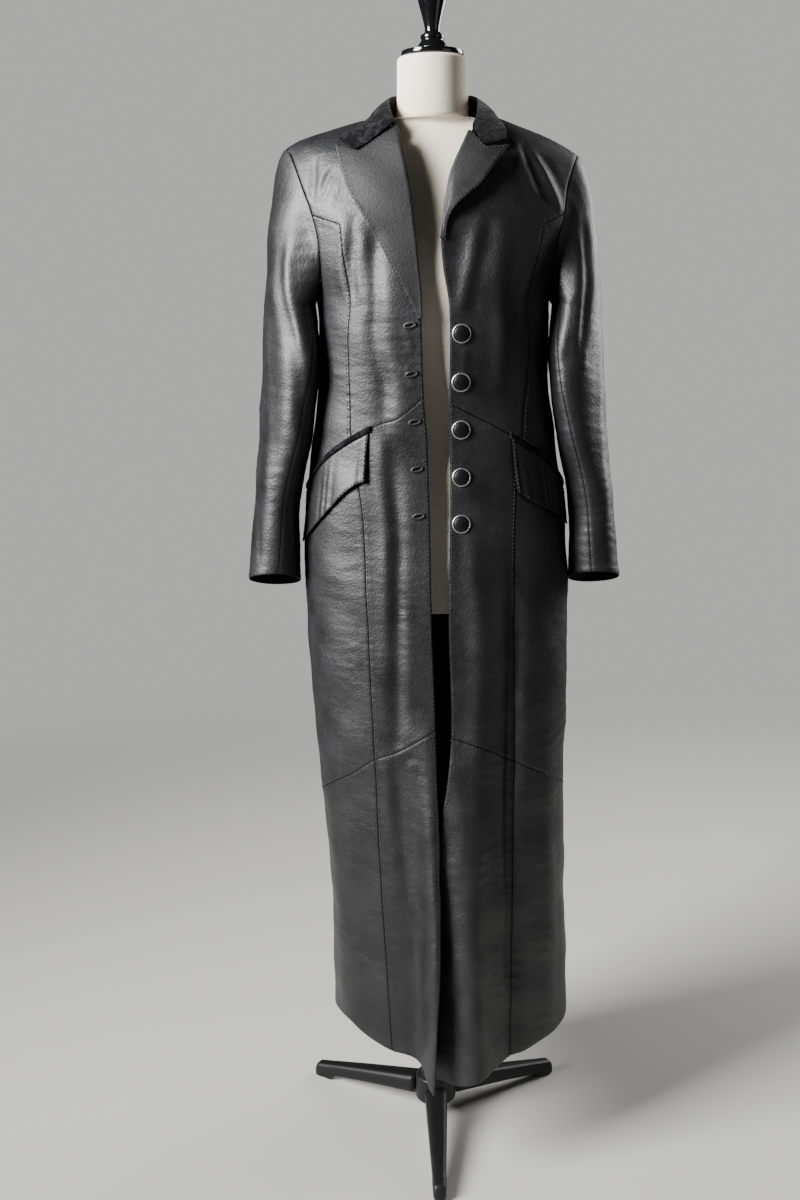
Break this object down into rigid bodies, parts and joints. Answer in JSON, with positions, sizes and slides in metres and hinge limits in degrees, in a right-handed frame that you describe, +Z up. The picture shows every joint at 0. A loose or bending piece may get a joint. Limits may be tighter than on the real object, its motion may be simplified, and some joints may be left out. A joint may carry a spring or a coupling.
{
  "type": "full-length leather coat on a limbless dress form",
  "caption": "Full-length single-breasted leather coat with velvet collar, peaked lapels and flap pockets, hanging open on a linen dress form with a tripod stand.",
  "frame": {"origin": "middle of the whole part's footprint, on the floor under the stand's feet", "axes": "+Z up, the coat opens and faces towards -Y, the wearer's left is at +X"},
  "size_m": [0.5734, 0.4097, 1.82],
  "materials": {
    "black_nappa": "semi-gloss black nappa leather with a fine grain",
    "black_velvet": "matte black velvet",
    "button_rim_steel": "matte silver metal",
    "cream_linen": "matte cream linen cover",
    "black_lacquer": "gloss black lacquer on turned wood",
    "pole_enamel": "black enamel on steel",
    "black_iron": "satin black paint on cast iron"
  },
  "bodies": {
    "root": {"front_chest_right": "black_nappa", "front_chest_left": "black_nappa", "side_chest_right": "black_nappa", "side_chest_left": "black_nappa", "back_chest_right": "black_nappa", "back_chest_left": "black_nappa", "front_skirt_right": "black_nappa", "front_skirt_left": "black_nappa", "side_skirt_right": "black_nappa", "side_skirt_left": "black_nappa", "back_skirt_right": "black_nappa", "back_skirt_left": "black_nappa", "front_hem_right": "black_nappa", "front_hem_left": "black_nappa", "side_hem_right": "black_nappa", "side_hem_left": "black_nappa", "back_hem_right": "black_nappa", "back_hem_left": "black_nappa", "top_sleeve_right": "black_nappa", "top_sleeve_left": "black_nappa", "under_sleeve_right": "black_nappa", "under_sleeve_left": "black_nappa", "lapel_right": "black_nappa", "lapel_left": "black_nappa", "pocket_flap_right": "black_nappa", "pocket_welt_right": "black_velvet", "pocket_flap_left": "black_nappa", "pocket_welt_left": "black_velvet", "collar": "black_velvet", "button_1": "black_nappa", "button_rim_1": "button_rim_steel", "buttonhole_1": "black_nappa", "button_2": "black_nappa", "button_rim_2": "button_rim_steel", "buttonhole_2": "black_nappa", "button_3": "black_nappa", "button_rim_3": "button_rim_steel", "buttonhole_3": "black_nappa", "button_4": "black_nappa", "button_rim_4": "button_rim_steel", "buttonhole_4": "black_nappa", "button_5": "black_nappa", "button_rim_5": "button_rim_steel", "buttonhole_5": "black_nappa", "form_torso": "cream_linen", "form_neck": "cream_linen", "neck_cap": "black_lacquer", "stand_pole": "pole_enamel", "stand_hub": "black_iron", "stand_leg_1": "black_iron", "stand_leg_2": "black_iron", "stand_leg_3": "black_iron"}
  },
  "joints": []
}
